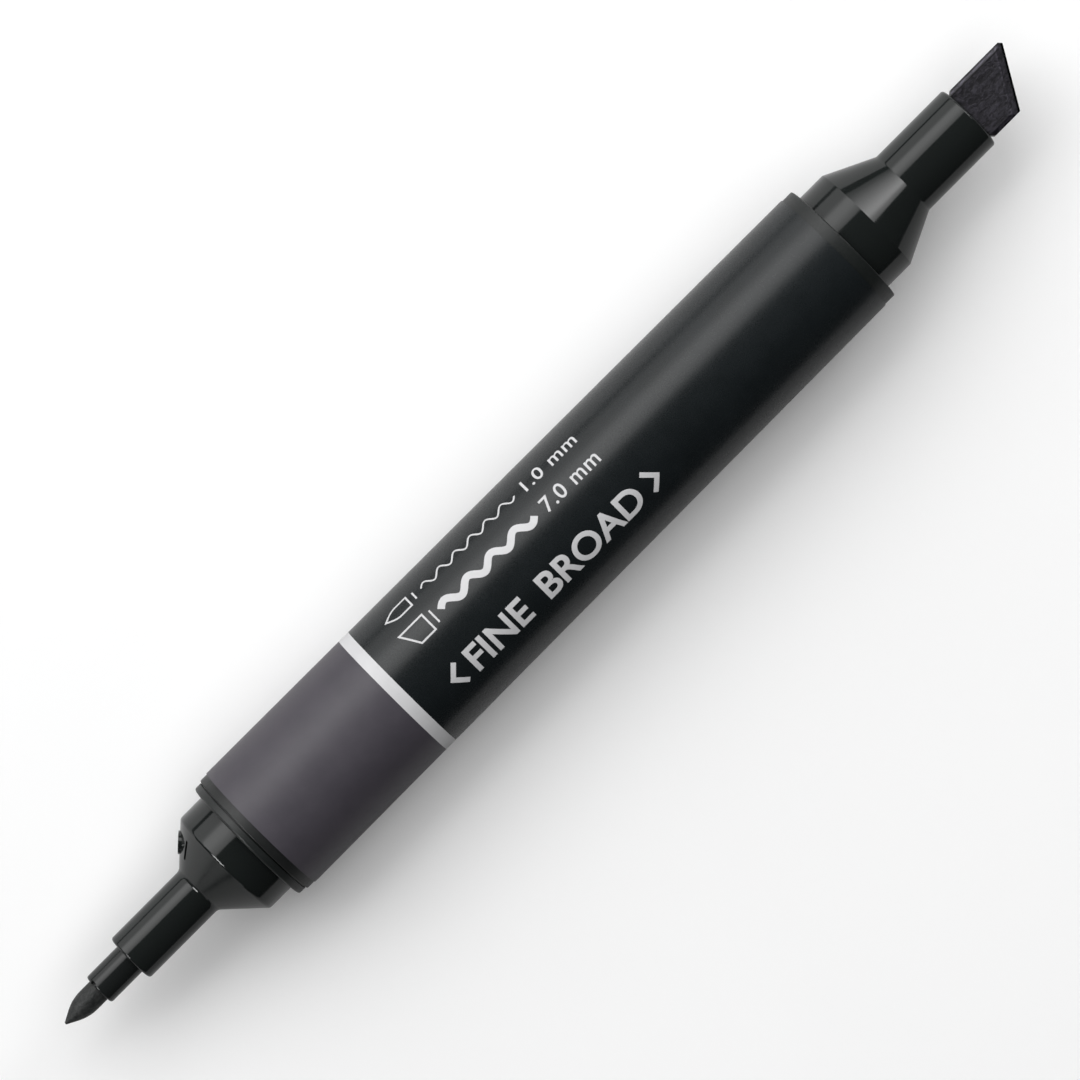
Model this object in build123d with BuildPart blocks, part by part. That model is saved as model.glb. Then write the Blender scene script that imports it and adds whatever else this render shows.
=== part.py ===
from build123d import *
import os
from math import atan, cos, degrees, hypot, pi, radians, sin, tan

# Twin-tip felt marker without its caps: a fine bullet nib at one end, a broad chisel nib at the
# other, and one ink reservoir between them that feeds both.
#
# Frame: millimetres. The marker's axis is the X axis, with the fine nib at -X and the broad nib
# at +X. The broad nib is flat in Z, and its long side is at +Y. The origin is on the axis, in the
# middle of the overall length. Angles around the axis run from +Y towards +Z.

os.makedirs("parts", exist_ok=True)

# ---- Lengths along the marker, in order from the fine nib's point to the broad nib's point ----
fine_nib_out = 4.82
holder_out = 4.50
fine_nose_length = 9.75
fine_cone_length = 3.90
fine_shoulder_length = 3.05
fine_flange_length = 1.00
tube_length = 83.08
broad_flange_length = 1.37
broad_shoulder_length = 3.34
broad_cone_length = 5.23
broad_nose_length = 9.49
broad_nib_out = 7.61

# ---- Barrel: a moulded tube whose outside and bore both narrow towards the broad end ----
tube_fine_radius = 7.68
tube_draft = 0.31
tube_wall = 0.80
fine_flange_step = 0.20
cap_wall = 1.05

# ---- Printed film around the barrel ----
label_thickness = 0.10
label_inset = 1.00
colour_band_length = 18.90
divider_length = 1.35

# ---- Clearances and roundings ----
running_gap = 0.03
seat_gap = 0.02
edge_round = 0.12
rim_round = 0.25
shoulder_round = 0.50
nose_edge_round = 0.30
fine_neck_round = 0.80
broad_neck_round = 0.50
seam_width = 0.15
seam_depth = 0.30

# ---- End sections: plug in the tube, cup for the reservoir, fins that stop it ----
plug_length = 9.00
section_wall = 1.00
stop_inset = 1.00
cup_air_gap = 0.30
fin_count = 4
fin_thickness = 0.80
fin_start_angle = 45.0
fin_stand_off = 0.15
rib_count = 6
rib_thickness = 0.50
rib_lead = 0.80

# ---- Fine nib, the holder around it and the nose around both ----
fine_nib_radius = 1.28
fine_point_angle = 28.0
fine_point_flat = 0.12
fine_point_round = 4.80
holder_wall = 0.49
holder_step = 0.35
holder_body_length = 8.40
holder_edge_round = 0.25
fine_nose_wall = 0.62
fine_mouth_wall = 1.00
vent_count = 2
vent_width = 0.60
vent_depth = 0.24
vent_start_angle = 60.0
vent_notch_depth = 0.35

# ---- Broad nib and the nose around it ----
head_width = 6.50
head_thickness = 3.40
neck_step = 0.47
neck_length = 0.50
face_step = 0.20
neck_start = 0.05
shank_corner = 0.90
chisel_angle = 59.5
point_cut = 0.36
long_edge_reach = 0.45
long_edge_depth = 0.20
bevel_depth = 0.50
bevel_reach = 0.90
shank_air_gap = 0.05
broad_nose_wall = 0.87
broad_mouth_wall = 1.50
mouth_vent_width = 1.40
mouth_vent_depth = 0.30

# ---- Reservoir ----
film_thickness = 0.10
nib_dip = 6.00
dip_end_gap = 0.30
breather_radius = 0.75
breather_wall = 0.30
breather_rim = 0.40
breather_out = 0.80

# ---- Mould marks on the fine end's cone: a raised flat pad and a narrow groove ----
mark_along_share = 0.54
pad_angle = 2.0
pad_length = 2.40
pad_width = 3.60
pad_height = 0.16
pad_sink = 0.30
groove_angle = 38.0
groove_length = 2.15
groove_width = 0.42
groove_depth = 0.30

# ---- Stations along X ----
overall_length = (
    fine_nib_out
    + holder_out
    + fine_nose_length
    + fine_cone_length
    + fine_shoulder_length
    + fine_flange_length
    + tube_length
    + broad_flange_length
    + broad_shoulder_length
    + broad_cone_length
    + broad_nose_length
    + broad_nib_out
)
x_fine_point = -overall_length / 2
x_holder_mouth = x_fine_point + fine_nib_out
x_fine_mouth = x_holder_mouth + holder_out
x_fine_cone = x_fine_mouth + fine_nose_length
x_fine_shoulder = x_fine_cone + fine_cone_length
x_fine_flange = x_fine_shoulder + fine_shoulder_length
x_tube_fine = x_fine_flange + fine_flange_length
x_tube_broad = x_tube_fine + tube_length
x_broad_flange = x_tube_broad + broad_flange_length
x_broad_cone = x_broad_flange + broad_shoulder_length
x_broad_nose = x_broad_cone + broad_cone_length
x_broad_mouth = x_broad_nose + broad_nose_length
x_broad_point = x_broad_mouth + broad_nib_out

x_fine_plug = x_tube_fine + plug_length
x_broad_plug = x_tube_broad - plug_length
x_fine_stop = x_tube_fine + stop_inset
x_broad_stop = x_tube_broad - stop_inset


def tube_radius(x):
    """Outside radius of the barrel tube, which narrows evenly towards its broad end."""
    return tube_fine_radius - tube_draft * (x - x_tube_fine) / tube_length


def bore_radius(x):
    """Inside radius of the barrel tube, which has the same draft as its outside."""
    return tube_radius(x) - tube_wall


# ---- Radii that follow from what fits inside what ----
fine_flange_radius = tube_fine_radius - fine_flange_step
broad_flange_radius = tube_radius(x_tube_broad)
fine_shoulder_radius = fine_flange_radius - cap_wall
broad_shoulder_radius = broad_flange_radius - cap_wall
fine_plug_radius = bore_radius(x_fine_plug) - seat_gap
broad_plug_radius = bore_radius(x_tube_broad) - seat_gap
cup_radius = broad_plug_radius - section_wall
film_radius = cup_radius - cup_air_gap
core_radius = film_radius - film_thickness
rib_radius = film_radius + seat_gap
rib_height = cup_radius + section_wall / 2 - rib_radius
breather_offset = core_radius - breather_rim - breather_radius

holder_bore_radius = fine_nib_radius + running_gap
holder_tip_radius = holder_bore_radius + holder_wall
holder_body_radius = holder_tip_radius + holder_step
fine_bore_radius = holder_body_radius + seat_gap
fine_nose_radius = fine_bore_radius + fine_nose_wall

shank_width = head_width - 2 * neck_step
shank_thickness = head_thickness - 2 * face_step
slot_width = shank_width + 2 * running_gap
slot_thickness = shank_thickness + 2 * running_gap
shank_reach = shank_corner + hypot(shank_width / 2 - shank_corner, shank_thickness / 2 - shank_corner)
broad_bore_radius = shank_reach + shank_air_gap
broad_nose_radius = broad_bore_radius + broad_nose_wall

fine_cone_slope = (fine_shoulder_radius - fine_nose_radius) / fine_cone_length
broad_cone_slope = (broad_shoulder_radius - broad_nose_radius) / broad_cone_length


def section(corners, rounds=()):
    """A closed half section from (along, radius) corners; rounds are (corner, radius) pairs."""
    with BuildSketch(Plane.XY) as half:
        with BuildLine():
            Polyline(*corners, close=True)
        make_face()
        for corner, radius in rounds:
            fillet(half.vertices().sort_by_distance((*corner, 0))[0], radius)
    return half.sketch


def around_axis(x):
    """The plane across the marker at x, with its own x along +Y and its own y along +Z."""
    return Plane.YZ.offset(x)


def finish(shape, name):
    """Labels a finished sub-part and writes its STEP file."""
    shape.label = name
    export_step(shape, f"parts/{name}.step")


# ---- Barrel tube, open at both ends ----
with BuildPart() as barrel_tube:
    fine_rim = (x_tube_fine, tube_radius(x_tube_fine))
    broad_rim = (x_tube_broad, tube_radius(x_tube_broad))
    revolve(
        section(
            [
                (x_tube_fine, bore_radius(x_tube_fine)),
                fine_rim,
                broad_rim,
                (x_tube_broad, bore_radius(x_tube_broad)),
            ],
            rounds=[(fine_rim, edge_round)],
        ),
        axis=Axis.X,
    )
finish(barrel_tube.part, "barrel_tube")

# ---- Printed film around the tube: colour band, silver divider and black label ----
x_band_start = x_tube_fine + label_inset
x_divider_start = x_band_start + colour_band_length
x_label_start = x_divider_start + divider_length
for film_name, x_start, x_end in (
    ("ink_colour_band", x_band_start, x_divider_start),
    ("label_divider_ring", x_divider_start, x_label_start),
    ("barrel_label", x_label_start, x_tube_broad),
):
    with BuildPart() as film_zone:
        revolve(
            section(
                [
                    (x_start, tube_radius(x_start)),
                    (x_start, tube_radius(x_start) + label_thickness),
                    (x_end, tube_radius(x_end) + label_thickness),
                    (x_end, tube_radius(x_end)),
                ]
            ),
            axis=Axis.X,
        )
    finish(film_zone.part, film_name)

# ---- Mould marks: an oval pad that stands on the fine end's cone and a groove cut in it ----
mark_x = x_fine_cone + mark_along_share * fine_cone_length
mark_radius = fine_nose_radius + mark_along_share * (fine_shoulder_radius - fine_nose_radius)
cone_angle = atan(fine_cone_slope)


def cone_plane(angle):
    """The plane that touches the fine cone at an angle around the axis, with its x around it."""
    turn = radians(angle)
    return Plane(
        origin=(mark_x, mark_radius * cos(turn), mark_radius * sin(turn)),
        x_dir=(0, -sin(turn), cos(turn)),
        z_dir=(-sin(cone_angle), cos(cone_angle) * cos(turn), cos(cone_angle) * sin(turn)),
    )


with BuildPart() as mould_pad:
    with BuildSketch(cone_plane(pad_angle).offset(-pad_sink)):
        Ellipse(pad_width / 2, pad_length / 2)
    extrude(amount=pad_sink + pad_height)

with BuildPart() as mould_groove:
    with BuildSketch(cone_plane(groove_angle).offset(-groove_depth)):
        RectangleRounded(groove_width, groove_length, groove_width * 0.45)
    extrude(amount=2 * groove_depth)

# ---- Air space inside the fine end section, with its stop fins and crush ribs left out ----
x_fine_inner_mouth = x_fine_mouth + fine_mouth_wall
x_fine_cup = x_fine_shoulder - (fine_shoulder_radius - section_wall - cup_radius) / fine_cone_slope
x_fine_bore = x_fine_shoulder - (
    fine_shoulder_radius - section_wall - fine_bore_radius
) / fine_cone_slope
with BuildPart() as fine_chamber:
    revolve(
        section(
            [
                (x_fine_inner_mouth, 0),
                (x_fine_inner_mouth, fine_bore_radius),
                (x_fine_bore, fine_bore_radius),
                (x_fine_cup, cup_radius),
                (x_fine_plug, cup_radius),
                (x_fine_plug, 0),
            ]
        ),
        axis=Axis.X,
    )
    fin_start = fine_bore_radius + fin_stand_off
    fin_span = cup_radius + section_wall - fin_start
    with Locations(around_axis((x_fine_bore + x_fine_stop) / 2)):
        with PolarLocations(fin_start + fin_span / 2, fin_count, fin_start_angle):
            Box(fin_span, fin_thickness, x_fine_stop - x_fine_bore, mode=Mode.SUBTRACT)
    fine_rib_length = x_fine_plug - rib_lead - x_fine_stop
    with Locations(around_axis(x_fine_stop + fine_rib_length / 2)):
        with PolarLocations(rib_radius + rib_height / 2, rib_count):
            Box(rib_height, rib_thickness, fine_rib_length, mode=Mode.SUBTRACT)

# ---- Fine end section: plug, flange, cap seat, cone and nose ----
with BuildPart() as fine_end_section:
    nose_rim = (x_fine_mouth, fine_nose_radius)
    nose_root = (x_fine_cone, fine_nose_radius)
    shoulder_rim = (x_fine_shoulder, fine_shoulder_radius)
    flange_rim = (x_fine_flange, fine_flange_radius)
    plug_rim = (x_fine_plug, fine_plug_radius)
    seam_floor = fine_flange_radius - seam_depth
    revolve(
        section(
            [
                (x_fine_mouth, 0),
                nose_rim,
                nose_root,
                shoulder_rim,
                (x_fine_flange, fine_shoulder_radius),
                flange_rim,
                (x_tube_fine - seam_width, fine_flange_radius),
                (x_tube_fine - seam_width, seam_floor),
                (x_tube_fine, seam_floor),
                (x_tube_fine, fine_plug_radius),
                plug_rim,
                (x_fine_plug, 0),
            ],
            rounds=[
                (nose_rim, nose_edge_round),
                (nose_root, fine_neck_round),
                (shoulder_rim, shoulder_round),
                (flange_rim, rim_round),
                (plug_rim, edge_round),
            ],
        ),
        axis=Axis.X,
    )
    add(mould_pad.part)
    add(mould_groove.part, mode=Mode.SUBTRACT)
    add(fine_chamber.part, mode=Mode.SUBTRACT)
    with BuildSketch(around_axis(x_fine_mouth)):
        Circle(holder_tip_radius + seat_gap)
    extrude(amount=fine_mouth_wall, mode=Mode.SUBTRACT)
finish(fine_end_section.part, "fine_end_section")

# ---- Fine nib holder: a stepped sleeve pushed in from behind. Vent grooves run along its bore and
# end in a notch through its rim ----
x_holder_end = x_fine_inner_mouth + holder_body_length
with BuildPart() as fine_nib_holder:
    holder_rim = (x_holder_mouth, holder_tip_radius)
    holder_tail = (x_holder_end, holder_body_radius)
    revolve(
        section(
            [
                (x_holder_mouth, holder_bore_radius),
                holder_rim,
                (x_fine_inner_mouth, holder_tip_radius),
                (x_fine_inner_mouth, holder_body_radius),
                holder_tail,
                (x_holder_end, holder_bore_radius),
            ],
            rounds=[(holder_rim, holder_edge_round), (holder_tail, edge_round)],
        ),
        axis=Axis.X,
    )
    holder_length = x_holder_end - x_holder_mouth
    vent_reach = holder_bore_radius + vent_depth
    with Locations(around_axis(x_holder_mouth + holder_length / 2)):
        with PolarLocations(vent_reach / 2, vent_count, vent_start_angle):
            Box(vent_reach, vent_width, holder_length, mode=Mode.SUBTRACT)
    with Locations(around_axis(x_holder_mouth)):
        with PolarLocations(holder_tip_radius / 2, vent_count, vent_start_angle):
            Box(holder_tip_radius + edge_round, vent_width, 2 * vent_notch_depth, mode=Mode.SUBTRACT)
finish(fine_nib_holder.part, "fine_nib_holder")

# ---- Fine nib: a pressed fibre rod with a bullet point, its tail in the reservoir ----
x_fine_nib_tail = x_fine_stop + nib_dip
with BuildPart() as fine_nib:
    point_length = (fine_nib_radius - fine_point_flat) / tan(radians(fine_point_angle))
    point_rim = (x_fine_point, fine_point_flat)
    bullet_shoulder = (x_fine_point + point_length, fine_nib_radius)
    nib_tail = (x_fine_nib_tail, fine_nib_radius)
    revolve(
        section(
            [
                (x_fine_point, 0),
                point_rim,
                bullet_shoulder,
                nib_tail,
                (x_fine_nib_tail, 0),
            ],
            rounds=[
                (point_rim, edge_round),
                (bullet_shoulder, fine_point_round),
                (nib_tail, rim_round),
            ],
        ),
        axis=Axis.X,
    )
finish(fine_nib.part, "fine_nib")

# ---- Air space inside the broad end section, with its stop fins and crush ribs left out ----
x_broad_inner_mouth = x_broad_mouth - broad_mouth_wall
x_broad_cup = x_broad_cone + (
    broad_shoulder_radius - section_wall - cup_radius
) / broad_cone_slope
x_broad_bore = x_broad_cone + (
    broad_shoulder_radius - section_wall - broad_bore_radius
) / broad_cone_slope
with BuildPart() as broad_chamber:
    revolve(
        section(
            [
                (x_broad_plug, 0),
                (x_broad_plug, cup_radius),
                (x_broad_cup, cup_radius),
                (x_broad_bore, broad_bore_radius),
                (x_broad_inner_mouth, broad_bore_radius),
                (x_broad_inner_mouth, 0),
            ]
        ),
        axis=Axis.X,
    )
    fin_start = broad_bore_radius + fin_stand_off
    fin_span = cup_radius + section_wall - fin_start
    with Locations(around_axis((x_broad_bore + x_broad_stop) / 2)):
        with PolarLocations(fin_start + fin_span / 2, fin_count, fin_start_angle):
            Box(fin_span, fin_thickness, x_broad_bore - x_broad_stop, mode=Mode.SUBTRACT)
    broad_rib_length = x_broad_stop - rib_lead - x_broad_plug
    with Locations(around_axis(x_broad_stop - broad_rib_length / 2)):
        with PolarLocations(rib_radius + rib_height / 2, rib_count):
            Box(rib_height, rib_thickness, broad_rib_length, mode=Mode.SUBTRACT)

# ---- Broad end section: plug, flange, cap seat, cone and nose slotted for the chisel nib ----
with BuildPart() as broad_end_section:
    plug_rim = (x_broad_plug, broad_plug_radius)
    flange_rim = (x_broad_flange, broad_flange_radius)
    shoulder_rim = (x_broad_cone, broad_shoulder_radius)
    nose_root = (x_broad_nose, broad_nose_radius)
    nose_rim = (x_broad_mouth, broad_nose_radius)
    revolve(
        section(
            [
                (x_broad_plug, 0),
                plug_rim,
                (x_tube_broad, broad_plug_radius),
                (x_tube_broad, broad_flange_radius),
                flange_rim,
                (x_broad_flange, broad_shoulder_radius),
                shoulder_rim,
                nose_root,
                nose_rim,
                (x_broad_mouth, 0),
            ],
            rounds=[
                (plug_rim, edge_round),
                (flange_rim, edge_round),
                (shoulder_rim, edge_round),
                (nose_root, broad_neck_round),
                (nose_rim, nose_edge_round),
            ],
        ),
        axis=Axis.X,
    )
    add(broad_chamber.part, mode=Mode.SUBTRACT)
    with BuildSketch(around_axis(x_broad_inner_mouth)):
        RectangleRounded(slot_width, slot_thickness, shank_corner)
        Rectangle(mouth_vent_width, shank_thickness + 2 * mouth_vent_depth)
    extrude(amount=broad_mouth_wall, mode=Mode.SUBTRACT)
finish(broad_end_section.part, "broad_end_section")

# ---- Broad nib: a flat chisel head on a narrower shank, its tail in the reservoir ----
x_broad_nib_tail = x_broad_stop - nib_dip
with BuildPart() as broad_nib:
    side = head_width / 2
    x_neck = x_broad_mouth + neck_start
    x_head = x_neck + neck_length
    slant = 1 / tan(radians(chisel_angle))
    x_short_end = x_broad_point - (head_width - point_cut) * slant
    with BuildSketch(Plane.XY.offset(-head_thickness / 2)):
        with BuildLine():
            Polyline(
                (x_neck, -shank_width / 2),
                (x_head, -side),
                (x_short_end, -side),
                (x_broad_point, side - point_cut),
                (x_broad_point - point_cut, side),
                (x_head, side),
                (x_neck, shank_width / 2),
                close=True,
            )
        make_face()
    extrude(amount=head_thickness)
    slant_direction = Vector(sin(radians(chisel_angle)), -cos(radians(chisel_angle)), 0)
    writing_face = broad_nib.faces().sort_by(lambda f: f.normal_at().dot(slant_direction))[-1]
    chamfer(
        writing_face.edges().filter_by(Axis.Z, reverse=True),
        length=bevel_depth,
        length2=bevel_reach,
        reference=writing_face,
    )
    for flat in broad_nib.faces().filter_by(Axis.Z):
        chamfer(
            flat.edges().filter_by(Axis.X).sort_by(SortBy.LENGTH)[-2:],
            length=long_edge_reach,
            length2=long_edge_depth,
            reference=flat,
        )
    with BuildSketch(around_axis(x_broad_nib_tail)):
        RectangleRounded(shank_width, shank_thickness, shank_corner)
    extrude(amount=x_head - x_broad_nib_tail)
finish(broad_nib.part, "broad_nib")

# ---- Reservoir: a bonded fibre rod with a socket for each nib's tail and a breather channel ----
core_length = x_broad_stop - x_fine_stop
x_core_middle = (x_broad_stop + x_fine_stop) / 2
with BuildPart() as reservoir_core:
    with BuildSketch(around_axis(x_fine_stop)):
        Circle(core_radius)
    extrude(amount=core_length)
    with BuildSketch(around_axis(x_fine_stop)):
        Circle(fine_nib_radius + running_gap)
    extrude(amount=nib_dip + dip_end_gap, mode=Mode.SUBTRACT)
    with BuildSketch(around_axis(x_broad_stop)):
        RectangleRounded(slot_width, slot_thickness, shank_corner)
    extrude(amount=-(nib_dip + dip_end_gap), mode=Mode.SUBTRACT)
    with BuildSketch(around_axis(x_fine_stop)):
        with Locations((0, -breather_offset)):
            Circle(breather_radius + seat_gap)
    extrude(amount=core_length, mode=Mode.SUBTRACT)
finish(reservoir_core.part, "reservoir_core")

# ---- Film wrapped around the fibre rod ----
with BuildPart() as reservoir_film:
    with BuildSketch(around_axis(x_fine_stop)):
        Circle(film_radius)
        Circle(core_radius, mode=Mode.SUBTRACT)
    extrude(amount=core_length)
finish(reservoir_film.part, "reservoir_film")

# ---- Breather tube, which lets air pass between the two ends as ink leaves ----
with BuildPart() as breather_tube:
    with BuildSketch(around_axis(x_fine_stop - breather_out)):
        with Locations((0, -breather_offset)):
            Circle(breather_radius)
            Circle(breather_radius - breather_wall, mode=Mode.SUBTRACT)
    extrude(amount=core_length + 2 * breather_out)
finish(breather_tube.part, "breather_tube")

core_volume = pi * core_radius**2 * core_length / 1000
print(f"overall length {overall_length:.2f}, largest diameter "
      f"{2 * (tube_radius(x_band_start) + label_thickness):.2f}")
print(f"fine cone {degrees(cone_angle):.1f} deg, broad cone "
      f"{degrees(atan(broad_cone_slope)):.1f} deg, fibre core {core_volume:.1f} ml")
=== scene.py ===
from math import cos, hypot, pi, radians, sin

import bmesh
import bpy
from mathutils import Matrix, Vector


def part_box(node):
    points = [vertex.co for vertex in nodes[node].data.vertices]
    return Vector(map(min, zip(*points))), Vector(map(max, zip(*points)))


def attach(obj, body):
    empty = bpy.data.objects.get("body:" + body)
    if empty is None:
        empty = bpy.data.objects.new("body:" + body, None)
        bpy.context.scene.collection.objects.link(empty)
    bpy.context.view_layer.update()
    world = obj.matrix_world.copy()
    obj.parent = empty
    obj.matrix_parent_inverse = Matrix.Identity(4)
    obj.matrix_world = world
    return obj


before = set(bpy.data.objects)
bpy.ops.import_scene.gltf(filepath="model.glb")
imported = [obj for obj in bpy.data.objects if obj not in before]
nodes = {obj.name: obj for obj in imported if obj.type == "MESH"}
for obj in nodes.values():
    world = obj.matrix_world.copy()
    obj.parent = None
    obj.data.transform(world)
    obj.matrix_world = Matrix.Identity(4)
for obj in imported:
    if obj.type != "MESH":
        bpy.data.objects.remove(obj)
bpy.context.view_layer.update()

# The looks of the twin-tip felt marker. Metres, in the CAD frame: the marker's axis is X, with the
# fine nib at -X and the broad nib at +X, and it lies on the floor with the broad nib's flat up.
MM = 0.001
BODY = "marker_body"


# ---------------------------------------------------------------- shader graphs
class Graph:
    """Short ways to build one material: every call adds a node and gives its output socket."""

    def __init__(self, name):
        self.material = bpy.data.materials.new(name)
        self.material.use_nodes = True
        self.tree = self.material.node_tree
        self.tree.nodes.clear()
        self.shader = self.tree.nodes.new("ShaderNodeBsdfPrincipled")
        output = self.tree.nodes.new("ShaderNodeOutputMaterial")
        self.tree.links.new(self.shader.outputs["BSDF"], output.inputs["Surface"])
        self.place = self.tree.nodes.new("ShaderNodeTexCoord").outputs["Object"]

    def put(self, socket, value):
        """Links value to the socket if it is an output socket, and sets it there if not."""
        if isinstance(value, bpy.types.NodeSocket):
            self.tree.links.new(value, socket)
        elif value is not None:
            socket.default_value = value

    def set(self, **values):
        """Sets the shader's sockets, such as Base_Color=..., Roughness=..."""
        for name, value in values.items():
            self.put(self.shader.inputs[name.replace("_", " ")], value)

    def stretched(self, scale, turn=(0, 0, 0)):
        """Object coordinates, scaled to make grain that runs longer one way."""
        node = self.tree.nodes.new("ShaderNodeMapping")
        self.put(node.inputs["Vector"], self.place)
        node.inputs["Scale"].default_value = scale
        node.inputs["Rotation"].default_value = turn
        return node.outputs["Vector"]

    def noise(self, scale, detail=2.0, rough=0.5, vector=None, distortion=0.0):
        node = self.tree.nodes.new("ShaderNodeTexNoise")
        self.put(node.inputs["Vector"], vector or self.place)
        node.inputs["Scale"].default_value = scale
        node.inputs["Detail"].default_value = detail
        node.inputs["Roughness"].default_value = rough
        node.inputs["Distortion"].default_value = distortion
        return node.outputs["Fac"]

    def math(self, kind, a, b=None, c=None):
        node = self.tree.nodes.new("ShaderNodeMath")
        node.operation = kind
        for socket, value in zip(node.inputs, (a, b, c)):
            self.put(socket, value)
        return node.outputs["Value"]

    def ramp(self, value, low, high, out_low=0.0, out_high=1.0, smooth=True):
        """Maps low..high to out_low..out_high, with no value outside them."""
        node = self.tree.nodes.new("ShaderNodeMapRange")
        node.interpolation_type = "SMOOTHSTEP" if smooth else "LINEAR"
        for name, v in (("Value", value), ("From Min", low), ("From Max", high),
                        ("To Min", out_low), ("To Max", out_high)):
            self.put(node.inputs[name], v)
        return node.outputs["Result"]

    def blend(self, factor, a, b, kind="MIX"):
        """Colour a where factor is 0, and where it is 1 colour b or, with MULTIPLY, a times b."""
        node = self.tree.nodes.new("ShaderNodeMix")
        node.data_type = "RGBA"
        node.blend_type = kind
        self.put(node.inputs[0], factor)
        self.put(node.inputs[6], a)
        self.put(node.inputs[7], b)
        return node.outputs[2]

    def along(self):
        """x, y and z of the object coordinates."""
        node = self.tree.nodes.new("ShaderNodeSeparateXYZ")
        self.put(node.inputs[0], self.place)
        return node.outputs[0], node.outputs[1], node.outputs[2]

    def off_axis(self):
        """Distance from the marker's axis."""
        y, z = self.along()[1:]
        return self.math("SQRT", self.math("ADD", self.math("MULTIPLY", y, y), self.math("MULTIPLY", z, z)))

    def bump(self, height, strength, distance, under=None):
        node = self.tree.nodes.new("ShaderNodeBump")
        node.inputs["Strength"].default_value = strength
        node.inputs["Distance"].default_value = distance
        self.put(node.inputs["Height"], height)
        if under is not None:
            self.put(node.inputs["Normal"], under)
        return node.outputs["Normal"]

    def give(self, *objects):
        """Puts this material on the objects' material slots."""
        for o in objects:
            if o.material_slots:
                for held in o.material_slots:
                    held.material = self.material
            else:
                o.data.materials.append(self.material)


def grey(value):
    return (value, value, value, 1.0)


# ---------------------------------------------------------------- materials
def end_plastic():
    """Polished black moulding; the flanges next to the barrel are left satin."""
    g = Graph("end_plastic")
    satin_radius = 6.9 * MM
    satin = g.ramp(g.off_axis(), satin_radius, satin_radius + 0.15 * MM)
    cloud = g.noise(260, 3.0, 0.55)
    flow = g.noise(60, 2.0, 0.5, g.stretched((0.35, 1, 1)))
    gloss = g.ramp(cloud, 0.3, 0.7, 0.075, 0.125)
    spark = g.ramp(g.noise(2600, 3.0, 0.6), 0.25, 0.75, 0.36, 0.46)
    roughness = g.math("ADD", g.math("MULTIPLY", gloss, g.math("SUBTRACT", 1.0, satin)),
                       g.math("MULTIPLY", spark, satin))
    colour = g.blend(flow, (0.0090, 0.0108, 0.0104, 1), (0.0120, 0.0142, 0.0138, 1))
    ripple = g.bump(flow, 0.10, 0.00015)
    grain = g.bump(g.noise(5200, 2.0, 0.5), 0.05, 0.00002, ripple)
    g.set(Base_Color=colour, Roughness=roughness, Normal=grain, IOR=1.5)
    return g


def holder_plastic():
    g = Graph("holder_plastic")
    cloud = g.noise(500, 3.0, 0.55)
    g.set(Base_Color=g.blend(cloud, (0.0090, 0.0104, 0.0102, 1), (0.0125, 0.0142, 0.0140, 1)),
          Roughness=g.ramp(cloud, 0.3, 0.7, 0.11, 0.18),
          Normal=g.bump(g.noise(900, 3.0, 0.6), 0.12, 0.00006),
          IOR=1.5)
    return g


def barrel_plastic():
    g = Graph("barrel_plastic")
    fine = g.noise(2400, 3.0, 0.6)
    g.set(Base_Color=g.blend(g.noise(220, 3.0), (0.0085, 0.0095, 0.0095, 1), (0.0125, 0.0135, 0.0135, 1)),
          Roughness=g.ramp(fine, 0.25, 0.75, 0.38, 0.48),
          Normal=g.bump(fine, 0.12, 0.00002),
          IOR=1.5)
    return g


def printed_film(name, colour_a, colour_b, rough_low, rough_high):
    """Ink on film: a fine even grain, a slow change of tone and a slightly uneven sheen."""
    g = Graph(name)
    grain = g.noise(3600, 2.0, 0.55)
    mottle = g.noise(420, 4.0, 0.6)
    slow = g.noise(34, 2.0, 0.5)
    tone = g.math("ADD", g.math("MULTIPLY", mottle, 0.5), g.math("MULTIPLY", slow, 0.5))
    rough = g.ramp(g.math("ADD", g.math("MULTIPLY", grain, 0.6), g.math("MULTIPLY", slow, 0.4)),
                   0.3, 0.7, rough_low, rough_high)
    wave = g.bump(slow, 0.06, 0.0004)
    g.set(Base_Color=g.blend(g.ramp(tone, 0.35, 0.65), colour_a, colour_b), Roughness=rough,
          Normal=g.bump(grain, 0.10, 0.000015, wave), IOR=1.5)
    return g


def inwards(g, point, inward):
    """How far each place is inside the edge that passes through point, with inward square to the edge."""
    x, y = g.along()[:2]
    return g.math("ADD", g.math("MULTIPLY", g.math("SUBTRACT", x, point[0]), inward[0]),
                  g.math("MULTIPLY", g.math("SUBTRACT", y, point[1]), inward[1]))


def near_line(g, distance, at, half_width):
    """1 where distance is at, falling to 0 half_width away."""
    return g.ramp(g.math("ABSOLUTE", g.math("SUBTRACT", distance, at)), 0.0, half_width, 1.0, 0.0)


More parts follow.
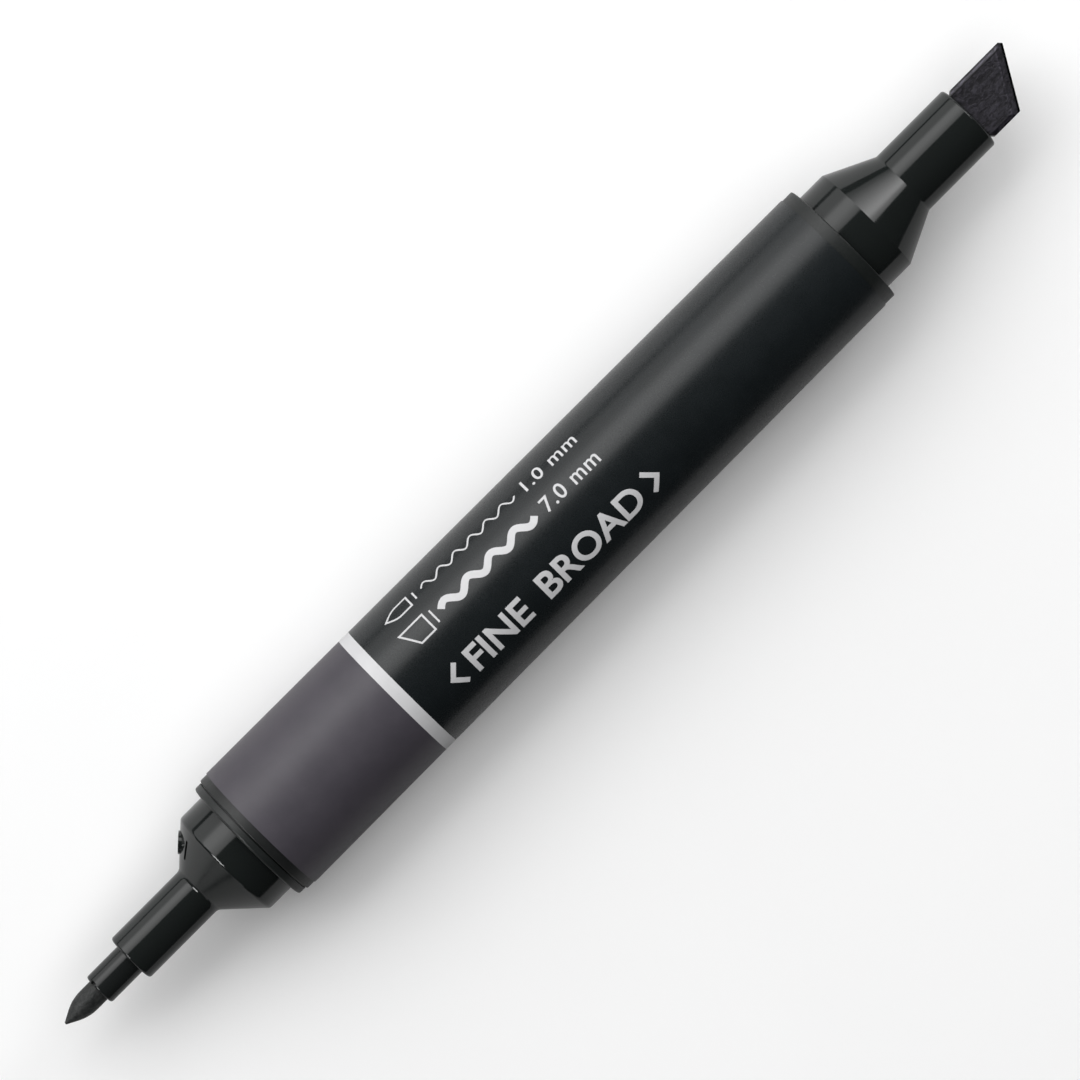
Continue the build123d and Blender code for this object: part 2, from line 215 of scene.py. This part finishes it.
def nib_fibre(name, dark, light, strand_stretch, wrinkle_scale, sheen, edges=(), painted_lines=()):
    """Pressed fibre soaked with ink: strands along the nib, crossed by fine wrinkles. Painted shade makes
    the colour near black and takes the gloss away along edges, each (point, inward, start, end, low), and
    painted lines, each (point, inward, at, half_width, share, low), multiply the colour by share: painted
    shade where share is below
    1, painted highlight where it is above. Both are drawn only where the distance from the nib's middle
    plane is more than low."""
    g = Graph(name)
    height = g.math("ABSOLUTE", g.along()[2])
    fade = 0.04 * MM
    strand = g.noise(1500, 4.0, 0.7, g.stretched((strand_stretch, 1.0, 1.0)))
    felt = g.noise(4200, 3.0, 0.65, g.stretched((0.7, 1.0, 1.0)), 0.8)
    cross = g.noise(wrinkle_scale, 3.0, 0.6, g.stretched((0.60, 1.0, 1.0), (0, 0, 0.16)), 1.4)
    mix = g.math("ADD", g.math("MULTIPLY", strand, 0.25),
                 g.math("ADD", g.math("MULTIPLY", felt, 0.25), g.math("MULTIPLY", cross, 0.50)))
    colour = g.blend(g.ramp(mix, 0.42, 0.60), dark, light)
    gloss = 0.5
    # painted shade: the colour goes near black and the gloss goes to nothing towards each edge
    for point, inward, start, end, low in edges:
        inner = g.math("MAXIMUM", g.ramp(inwards(g, point, inward), start, end),
                       g.ramp(height, low - fade, low, 1.0, 0.0))
        colour = g.blend(inner, grey(0.0006), colour)
        gloss = g.math("MULTIPLY", inner, gloss)
    # painted lines: a share below 1 is a painted shadow line, and a share above 1 is a painted highlight
    for point, inward, at, half_width, share, low in painted_lines:
        on_line = g.math("MULTIPLY", near_line(g, inwards(g, point, inward), at, half_width),
                         g.ramp(height, low - fade, low))
        colour = g.blend(1.0, colour, g.blend(on_line, grey(1.0), grey(share)), "MULTIPLY")
    relief = g.bump(strand, 0.5, 0.00008)
    relief = g.bump(cross, 0.6, 0.00010, relief)
    g.set(Base_Color=colour, Roughness=g.ramp(felt, 0.3, 0.7, sheen, sheen + 0.15),
          Normal=g.bump(felt, 0.5, 0.00005, relief), IOR=1.45, Specular_IOR_Level=gloss)
    return g


def reservoir_fibre():
    g = Graph("reservoir_fibre")
    strand = g.noise(1300, 4.0, 0.65, g.stretched((0.05, 1.0, 1.0)))
    g.set(Base_Color=g.blend(g.ramp(strand, 0.35, 0.65), (0.020, 0.019, 0.025, 1), (0.060, 0.058, 0.070, 1)),
          Roughness=g.ramp(strand, 0.3, 0.7, 0.7, 0.9), Normal=g.bump(strand, 0.6, 0.00012))
    return g


def clear_plastic(name, colour_a, colour_b, transmission):
    g = Graph(name)
    flow = g.noise(180, 3.0, 0.55, g.stretched((0.2, 1.0, 1.0)))
    g.set(Base_Color=g.blend(flow, colour_a, colour_b), Roughness=g.ramp(flow, 0.3, 0.7, 0.25, 0.4),
          Normal=g.bump(flow, 0.15, 0.00008), Transmission_Weight=transmission, IOR=1.5)
    return g


end_plastic().give(nodes["fine_end_section"], nodes["broad_end_section"])
holder_plastic().give(nodes["fine_nib_holder"])
barrel_plastic().give(nodes["barrel_tube"])
printed_film("label_black", (0.0072, 0.0094, 0.0104, 1), (0.0098, 0.0124, 0.0137, 1),
             0.25, 0.32).give(nodes["barrel_label"])
silver = printed_film("label_silver", (0.58, 0.58, 0.59, 1), (0.63, 0.63, 0.64, 1), 0.40, 0.50)
silver.give(nodes["label_divider_ring"])
printed_film("label_colour", (0.054, 0.049, 0.060, 1), (0.063, 0.057, 0.069, 1),
             0.40, 0.47).give(nodes["ink_colour_band"])

# The broad nib's edges, each a point on it and the direction into the nib, and how far from the nib's
# middle plane its bevel and its chamfers begin.
CHISEL_SLANT = radians(59.5)
CHISEL_CORNER = 0.36 * MM
BEVEL_DEPTH = 0.50 * MM
CHAMFER_DEPTH = 0.20 * MM
nib_low, nib_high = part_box("broad_nib")
writing_edge = ((nib_high.x, nib_high.y - CHISEL_CORNER), (-sin(CHISEL_SLANT), cos(CHISEL_SLANT)))
long_edge = ((nib_high.x, nib_high.y), (0, -1))
short_edge = ((nib_high.x, nib_low.y), (0, 1))
neck = ((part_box("broad_end_section")[1].x, 0), (1, 0))
bevel_low = nib_high.z - BEVEL_DEPTH
chamfer_low = nib_high.z - CHAMFER_DEPTH
nib_fibre("fine_nib_fibre", (0.010, 0.011, 0.011, 1), (0.030, 0.032, 0.031, 1), strand_stretch=0.07,
          wrinkle_scale=2400, sheen=0.42).give(nodes["fine_nib"])
# The broad nib gets painted shade along its long, short and writing edges, a painted shadow line at the neck
# and another along the long edge, a painted highlight streak along the long edge, and a painted highlight
# line on the inner edge of the writing bevel.
nib_fibre("broad_nib_fibre", (0.0065, 0.0060, 0.0082, 1), (0.0265, 0.0245, 0.0325, 1), strand_stretch=0.10,
          wrinkle_scale=1750, sheen=0.36,
          edges=((*long_edge, 0.0, 0.13 * MM, chamfer_low), (*short_edge, 0.0, 0.18 * MM, chamfer_low),
                 (*writing_edge, 0.14 * MM, 0.34 * MM, bevel_low)),
          painted_lines=((*neck, 0.08 * MM, 0.22 * MM, 0.10, 0.0),
                   (*long_edge, 0.27 * MM, 0.17 * MM, 3.4, chamfer_low),
                   (*long_edge, 0.53 * MM, 0.13 * MM, 0.25, chamfer_low),
                   (*writing_edge, 0.92 * MM, 0.14 * MM, 1.9, bevel_low)),
          ).give(nodes["broad_nib"])
reservoir_fibre().give(nodes["reservoir_core"])
clear_plastic("reservoir_film", (0.74, 0.74, 0.75, 1), (0.80, 0.80, 0.80, 1),
              transmission=0.5).give(nodes["reservoir_film"])
clear_plastic("breather_plastic", (0.78, 0.78, 0.75, 1), (0.84, 0.84, 0.82, 1),
              transmission=0.2).give(nodes["breather_tube"])


# ---------------------------------------------------------------- the print on the label
def film_outline(node):
    """((x, radius), (x, radius)) of a band of film at its two ends."""
    points = [(v.co.x, hypot(v.co.y, v.co.z)) for v in nodes[node].data.vertices]
    near = 0.02 * MM
    ends = []
    for x in (min(p[0] for p in points), max(p[0] for p in points)):
        ends.append((x, max(r for px, r in points if abs(px - x) < near)))
    return ends


(label_start, label_start_radius), (label_end, label_end_radius) = film_outline("barrel_label")


def film_radius(x):
    """Outside radius of the film at x: it narrows evenly towards the broad end."""
    share = (x - label_start) / (label_end - label_start)
    return label_start_radius + (label_end_radius - label_start_radius) * share


PRINT_LIFT = 0.012 * MM
PRINT_DEPTH = 0.04 * MM
PRINT_STEP = 0.25 * MM


def wrap(mesh, x, angle):
    """Bends a flat print, drawn with u along the marker and v up the letters, around the label."""
    for v in mesh.vertices:
        along, up, out = v.co
        r = film_radius(x + along) + PRINT_LIFT + out
        turn = angle + up / film_radius(x)
        v.co = (x + along, r * sin(turn), r * cos(turn))


def slab(name, bm, x, angle, material):
    """Cuts a flat print's faces across, so that they bend round the label, and makes them a thin closed
    piece that rides on the marker."""
    low = min(v.co.y for v in bm.verts)
    high = max(v.co.y for v in bm.verts)
    for i in range(1, int((high - low) / PRINT_STEP) + 1):
        bmesh.ops.bisect_plane(bm, geom=bm.verts[:] + bm.edges[:] + bm.faces[:],
                               plane_co=(0, low + i * PRINT_STEP, 0), plane_no=(0, 1, 0), dist=1e-8)
    for f in bm.faces:
        f.normal_update()
        if f.normal.z < 0:
            f.normal_flip()
    bmesh.ops.recalc_face_normals(bm, faces=bm.faces[:])
    made = bmesh.ops.extrude_face_region(bm, geom=bm.faces[:], use_keep_orig=True)
    for v in made["geom"]:
        if isinstance(v, bmesh.types.BMVert):
            v.co.z -= PRINT_DEPTH
    bmesh.ops.recalc_face_normals(bm, faces=bm.faces[:])
    bmesh.ops.triangulate(bm, faces=bm.faces[:])
    mesh = bpy.data.meshes.new(name)
    bm.to_mesh(mesh)
    bm.free()
    wrap(mesh, x, angle)
    mesh.update()
    piece = bpy.data.objects.new(name, mesh)
    bpy.context.scene.collection.objects.link(piece)
    for f in mesh.polygons:
        f.use_smooth = True
    mesh.set_sharp_from_angle(angle=radians(35))
    material.give(piece)
    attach(piece, BODY)


def text_faces(words, size, bold, spacing=1.0):
    """The letters as flat faces in a new bmesh, starting at u = 0 on their base line."""
    curve = bpy.data.curves.new("letters", "FONT")
    curve.body = words
    curve.size = size
    curve.offset = bold
    curve.space_character = spacing
    curve.resolution_u = 8
    holder = bpy.data.objects.new("letters", curve)
    bpy.context.scene.collection.objects.link(holder)
    bpy.context.view_layer.update()
    flat = bpy.data.meshes.new_from_object(holder)
    bm = bmesh.new()
    bm.from_mesh(flat)
    bpy.data.objects.remove(holder)
    bpy.data.curves.remove(curve)
    bpy.data.meshes.remove(flat)
    bmesh.ops.remove_doubles(bm, verts=bm.verts[:], dist=1e-7)
    shift = min(v.co.x for v in bm.verts)
    for v in bm.verts:
        v.co.x -= shift
    return bm


def stroke(bm, points, width, closed=False):
    """Adds a line of one width through the points, with mitred corners, as flat faces."""
    count = len(points)
    sides = []
    for i, (u, v) in enumerate(points):
        if closed:
            before, after = points[i - 1], points[(i + 1) % count]
        else:
            before, after = points[max(i - 1, 0)], points[min(i + 1, count - 1)]
        into = Vector((u - before[0], v - before[1]))
        away = Vector((after[0] - u, after[1] - v))
        into = into.normalized() if into.length else away.normalized()
        away = away.normalized() if away.length else into
        along = (into + away).normalized()
        reach = width / 2 / max(0.35, along.dot(into))
        across = Vector((-along.y, along.x)) * reach
        sides.append((bm.verts.new((u + across.x, v + across.y, 0)),
                      bm.verts.new((u - across.x, v - across.y, 0))))
    for i in range(count if closed else count - 1):
        (left, right), (next_left, next_right) = sides[i], sides[(i + 1) % count]
        bm.faces.new((right, next_right, next_left, left))


def curve_points(start, lean_a, lean_b, end, steps=10):
    """Points on a cubic curve from start to end, without start itself."""
    points = []
    for k in range(1, steps + 1):
        t = k / steps
        weights = ((1 - t) ** 3, 3 * t * (1 - t) ** 2, 3 * t * t * (1 - t), t ** 3)
        points.append(tuple(sum(w * p[i] for w, p in zip(weights, (start, lean_a, lean_b, end)))
                            for i in (0, 1)))
    return points


def wave(start, length, height, turns, steps=60):
    """A wavy line from start along u."""
    return [(start[0] + length * k / steps, start[1] + height * sin(2 * pi * turns * k / steps))
            for k in range(steps + 1)]


def millimetres(points):
    return [(u * MM, v * MM) for u, v in points]


def tip_signs():
    """Line drawings of the two tips, each followed by the line that it draws."""
    bm = bmesh.new()
    line = 0.20 * MM
    bullet = [(0.0, 4.95)]
    bullet += curve_points((0.0, 4.95), (0.6, 5.3), (1.0, 5.7), (1.8, 5.7))
    bullet += [(3.2, 5.7), (3.2, 4.2), (1.8, 4.2)]
    bullet += curve_points((1.8, 4.2), (1.0, 4.2), (0.6, 4.6), (0.0, 4.95))[:-1]
    chisel = [(0.0, 2.55), (3.2, 2.55), (3.2, 0.35), (1.25, 0.35)]
    stroke(bm, millimetres(bullet), line, closed=True)
    stroke(bm, millimetres(chisel), line, closed=True)
    stroke(bm, millimetres([(4.0, 5.5), (4.0, 4.4)]), line)
    stroke(bm, millimetres([(4.0, 2.3), (4.0, 0.6)]), line)
    stroke(bm, millimetres(wave((5.0, 4.95), 13.2, 0.45, 6, 108)), line)
    stroke(bm, millimetres(wave((5.0, 1.45), 13.2, 0.50, 4, 96)), 0.80 * MM)
    return bm


def arrow_head(way):
    """A chevron whose point is at u = 0 and which opens the given way along u."""
    bm = bmesh.new()
    stroke(bm, millimetres([(1.25 * way, 2.75), (0, 1.42), (1.25 * way, 0.1)]), 0.55 * MM)
    return bm


def length_along(bm):
    return max(v.co.x for v in bm.verts)


# The marks on the label are generic: which tip is at which end, and the width of its line.
NAMES_AT = label_start + 4.2 * MM
NAMES_LENGTH = 29.0 * MM
NAMES_ANGLE = radians(-35.5)
NAME_SIZE = 4.15 * MM
NAME_BOLD = 0.085 * MM
NAME_INSET = 2.5 * MM
SIGNS_AT = label_start + 3.4 * MM
SIGNS_ANGLE = radians(9.5)
WIDTH_SIZE = 2.4 * MM
WIDTH_BOLD = 0.02 * MM
WIDTH_SPACING = 1.08
WIDTHS_AT = SIGNS_AT + 19.4 * MM
FINE_WIDTH_ANGLE = SIGNS_ANGLE + radians(30.5)
BROAD_WIDTH_ANGLE = SIGNS_ANGLE + radians(4.5)
names_end = NAMES_AT + NAMES_LENGTH
broad_word = text_faces("BROAD", NAME_SIZE, NAME_BOLD)
broad_word_at = names_end - NAME_INSET - length_along(broad_word)
fine_width = text_faces("1.0 mm", WIDTH_SIZE, WIDTH_BOLD, WIDTH_SPACING)
broad_width = text_faces("7.0 mm", WIDTH_SIZE, WIDTH_BOLD, WIDTH_SPACING)
for name, print_faces, at, angle in (
        ("print_fine", text_faces("FINE", NAME_SIZE, NAME_BOLD), NAMES_AT + NAME_INSET, NAMES_ANGLE),
        ("print_broad", broad_word, broad_word_at, NAMES_ANGLE),
        ("print_fine_arrow", arrow_head(1), NAMES_AT, NAMES_ANGLE),
        ("print_broad_arrow", arrow_head(-1), names_end, NAMES_ANGLE),
        ("print_tip_signs", tip_signs(), SIGNS_AT, SIGNS_ANGLE),
        ("print_fine_width", fine_width, WIDTHS_AT, FINE_WIDTH_ANGLE),
        ("print_broad_width", broad_width, WIDTHS_AT, BROAD_WIDTH_ANGLE)):
    slab(name, print_faces, at, angle, silver)


# ---------------------------------------------------------------- floor
floor_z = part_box("ink_colour_band")[0].z


def make_floor():
    """Pale paper. The marker sees it darker than the camera does, as painted shade and painted reflection:
    the paper's colour times 0.42 at y = -0.03 m rising to 0.77 at +0.03 m, and black beyond y = -0.07 and
    +0.115 m, where black cards would stand beside it in a studio."""
    g = Graph("floor_paper")
    y = g.along()[1]
    # painted reflection: the strip of floor that the marker sees, black outside it
    painted_strip_mask = g.math("MULTIPLY", g.ramp(y, -0.072, -0.068), g.ramp(y, 0.112, 0.118, 1.0, 0.0))
    # painted shade: the floor as the marker sees it is darker towards -Y
    painted_reflection_tone = g.math("MULTIPLY", painted_strip_mask, g.ramp(y, -0.030, 0.030, 0.42, 0.77))
    direct = g.tree.nodes.new("ShaderNodeLightPath").outputs["Is Camera Ray"]
    paper = g.blend(g.noise(40, 4.0, 0.6), grey(0.94), grey(0.96))
    g.set(Base_Color=g.blend(g.math("MAXIMUM", direct, painted_reflection_tone), grey(0.0), paper), Roughness=0.9,
          Specular_IOR_Level=0.1)
    half = 3.0
    mesh = bpy.data.meshes.new("floor")
    mesh.from_pydata([(-half, -half, floor_z), (half, -half, floor_z), (half, half, floor_z),
                      (-half, half, floor_z)], [], [(0, 1, 2, 3)])
    floor = bpy.data.objects.new("floor", mesh)
    bpy.context.scene.collection.objects.link(floor)
    g.give(floor)


make_floor()


# ---------------------------------------------------------------- light
def softbox(name, direction, distance, across, along, radiance, across_axis=(0, 0, 1), profile=None,
            glossy=True, diffuse=True):
    """A rectangular area light facing the origin. across is its width along across_axis, turned square to
    the light's direction, and along is its width the other way. profile is its brightness across it, as
    (place from 0 to 1, share of radiance) pairs."""
    light = bpy.data.lights.new(name, "AREA")
    light.shape = "RECTANGLE"
    light.size = along
    light.size_y = across
    light.energy = radiance * pi * across * along
    if profile:
        light.use_nodes = True
        tree = light.node_tree
        place = tree.nodes.new("ShaderNodeNewGeometry")
        split = tree.nodes.new("ShaderNodeSeparateXYZ")
        ramp = tree.nodes.new("ShaderNodeValToRGB")
        stops = ramp.color_ramp.elements
        while len(stops) < len(profile):
            stops.new(0.5)
        for stop, (where, share) in zip(stops, profile):
            stop.position = where
            stop.color = grey(share)
        tree.links.new(place.outputs["Parametric"], split.inputs[0])
        tree.links.new(split.outputs[1], ramp.inputs["Fac"])
        tree.links.new(ramp.outputs["Color"], tree.nodes["Emission"].inputs["Strength"])
    lamp = bpy.data.objects.new(name, light)
    bpy.context.scene.collection.objects.link(lamp)
    out = Vector(direction).normalized()
    side = Vector(across_axis).cross(out).normalized()
    up = out.cross(side)
    turned = Matrix((side, up, out)).transposed().to_4x4()
    turned.translation = out * distance
    lamp.matrix_world = turned
    lamp.visible_camera = False
    lamp.visible_glossy = glossy
    lamp.visible_diffuse = diffuse


def tilt(degrees_to_y):
    """Direction that many degrees from straight up, towards +Y."""
    return (0, sin(radians(degrees_to_y)), cos(radians(degrees_to_y)))


softbox("key", tilt(54.5), distance=0.65, across=0.86, along=1.10, radiance=2.55, across_axis=(0, 1, -0.7),
        profile=((0.0, 0.48), (0.16, 0.73), (0.29, 0.96), (0.42, 1.0), (0.50, 0.93), (0.56, 0.62),
                 (0.62, 0.45), (1.0, 0.39)))
softbox("end_light", (0.806, 0.335, 0.488), distance=0.70, across=0.765, along=0.25, radiance=4.9,
        across_axis=(-0.069, 0.755, -0.273),
        profile=((0.0, 0.42), (0.05, 0.44), (0.11, 0.56), (0.20, 1.0), (0.28, 1.0), (0.33, 0.92),
                 (0.50, 0.61), (0.70, 0.33), (0.85, 0.165), (1.0, 0.10)))
softbox("far_end_light", (-0.75, 0.15, 0.62), distance=0.70, across=0.26, along=0.15, radiance=11.0,
        across_axis=(0, 1, 0), diffuse=False)
softbox("far_wall", (-1.0, 0, 0.12), distance=0.90, across=0.22, along=1.20, radiance=0.50)
softbox("fill", (0, 0, 1), distance=1.20, across=1.6, along=1.6, radiance=1.22, across_axis=(0, 1, 0),
        glossy=False)

# The room: pale to the camera, and nearly dark to the marker, which then shows only the softboxes.
world = bpy.data.worlds.new("studio")
bpy.context.scene.world = world
world.use_nodes = True
sky = world.node_tree.nodes
sky.clear()
path = sky.new("ShaderNodeLightPath")
dark = sky.new("ShaderNodeBackground")
dark.inputs["Color"].default_value = grey(0.01)
pale = sky.new("ShaderNodeBackground")
pale.inputs["Color"].default_value = grey(0.90)
either = sky.new("ShaderNodeMixShader")
out = sky.new("ShaderNodeOutputWorld")
world.node_tree.links.new(path.outputs["Is Camera Ray"], either.inputs[0])
world.node_tree.links.new(dark.outputs[0], either.inputs[1])
world.node_tree.links.new(pale.outputs[0], either.inputs[2])
world.node_tree.links.new(either.outputs[0], out.inputs[0])
bpy.context.scene.view_settings.view_transform = "Standard"


# ---------------------------------------------------------------- camera
# It looks straight down, turned so that the broad nib is at the top right.
CAMERA_HEIGHT = 0.79
CAMERA_OFFSET = 0.53 * MM
CAMERA_TURN = radians(-45.1)
camera = bpy.data.cameras.new("camera")
camera.sensor_width = 36
camera.lens = 260.2
camera.clip_start = 0.05
camera.clip_end = 20
eye = bpy.data.objects.new("camera", camera)
bpy.context.scene.collection.objects.link(eye)
eye.location = (0, CAMERA_OFFSET, CAMERA_HEIGHT)
eye.rotation_euler = (0, 0, CAMERA_TURN)
bpy.context.scene.camera = eye
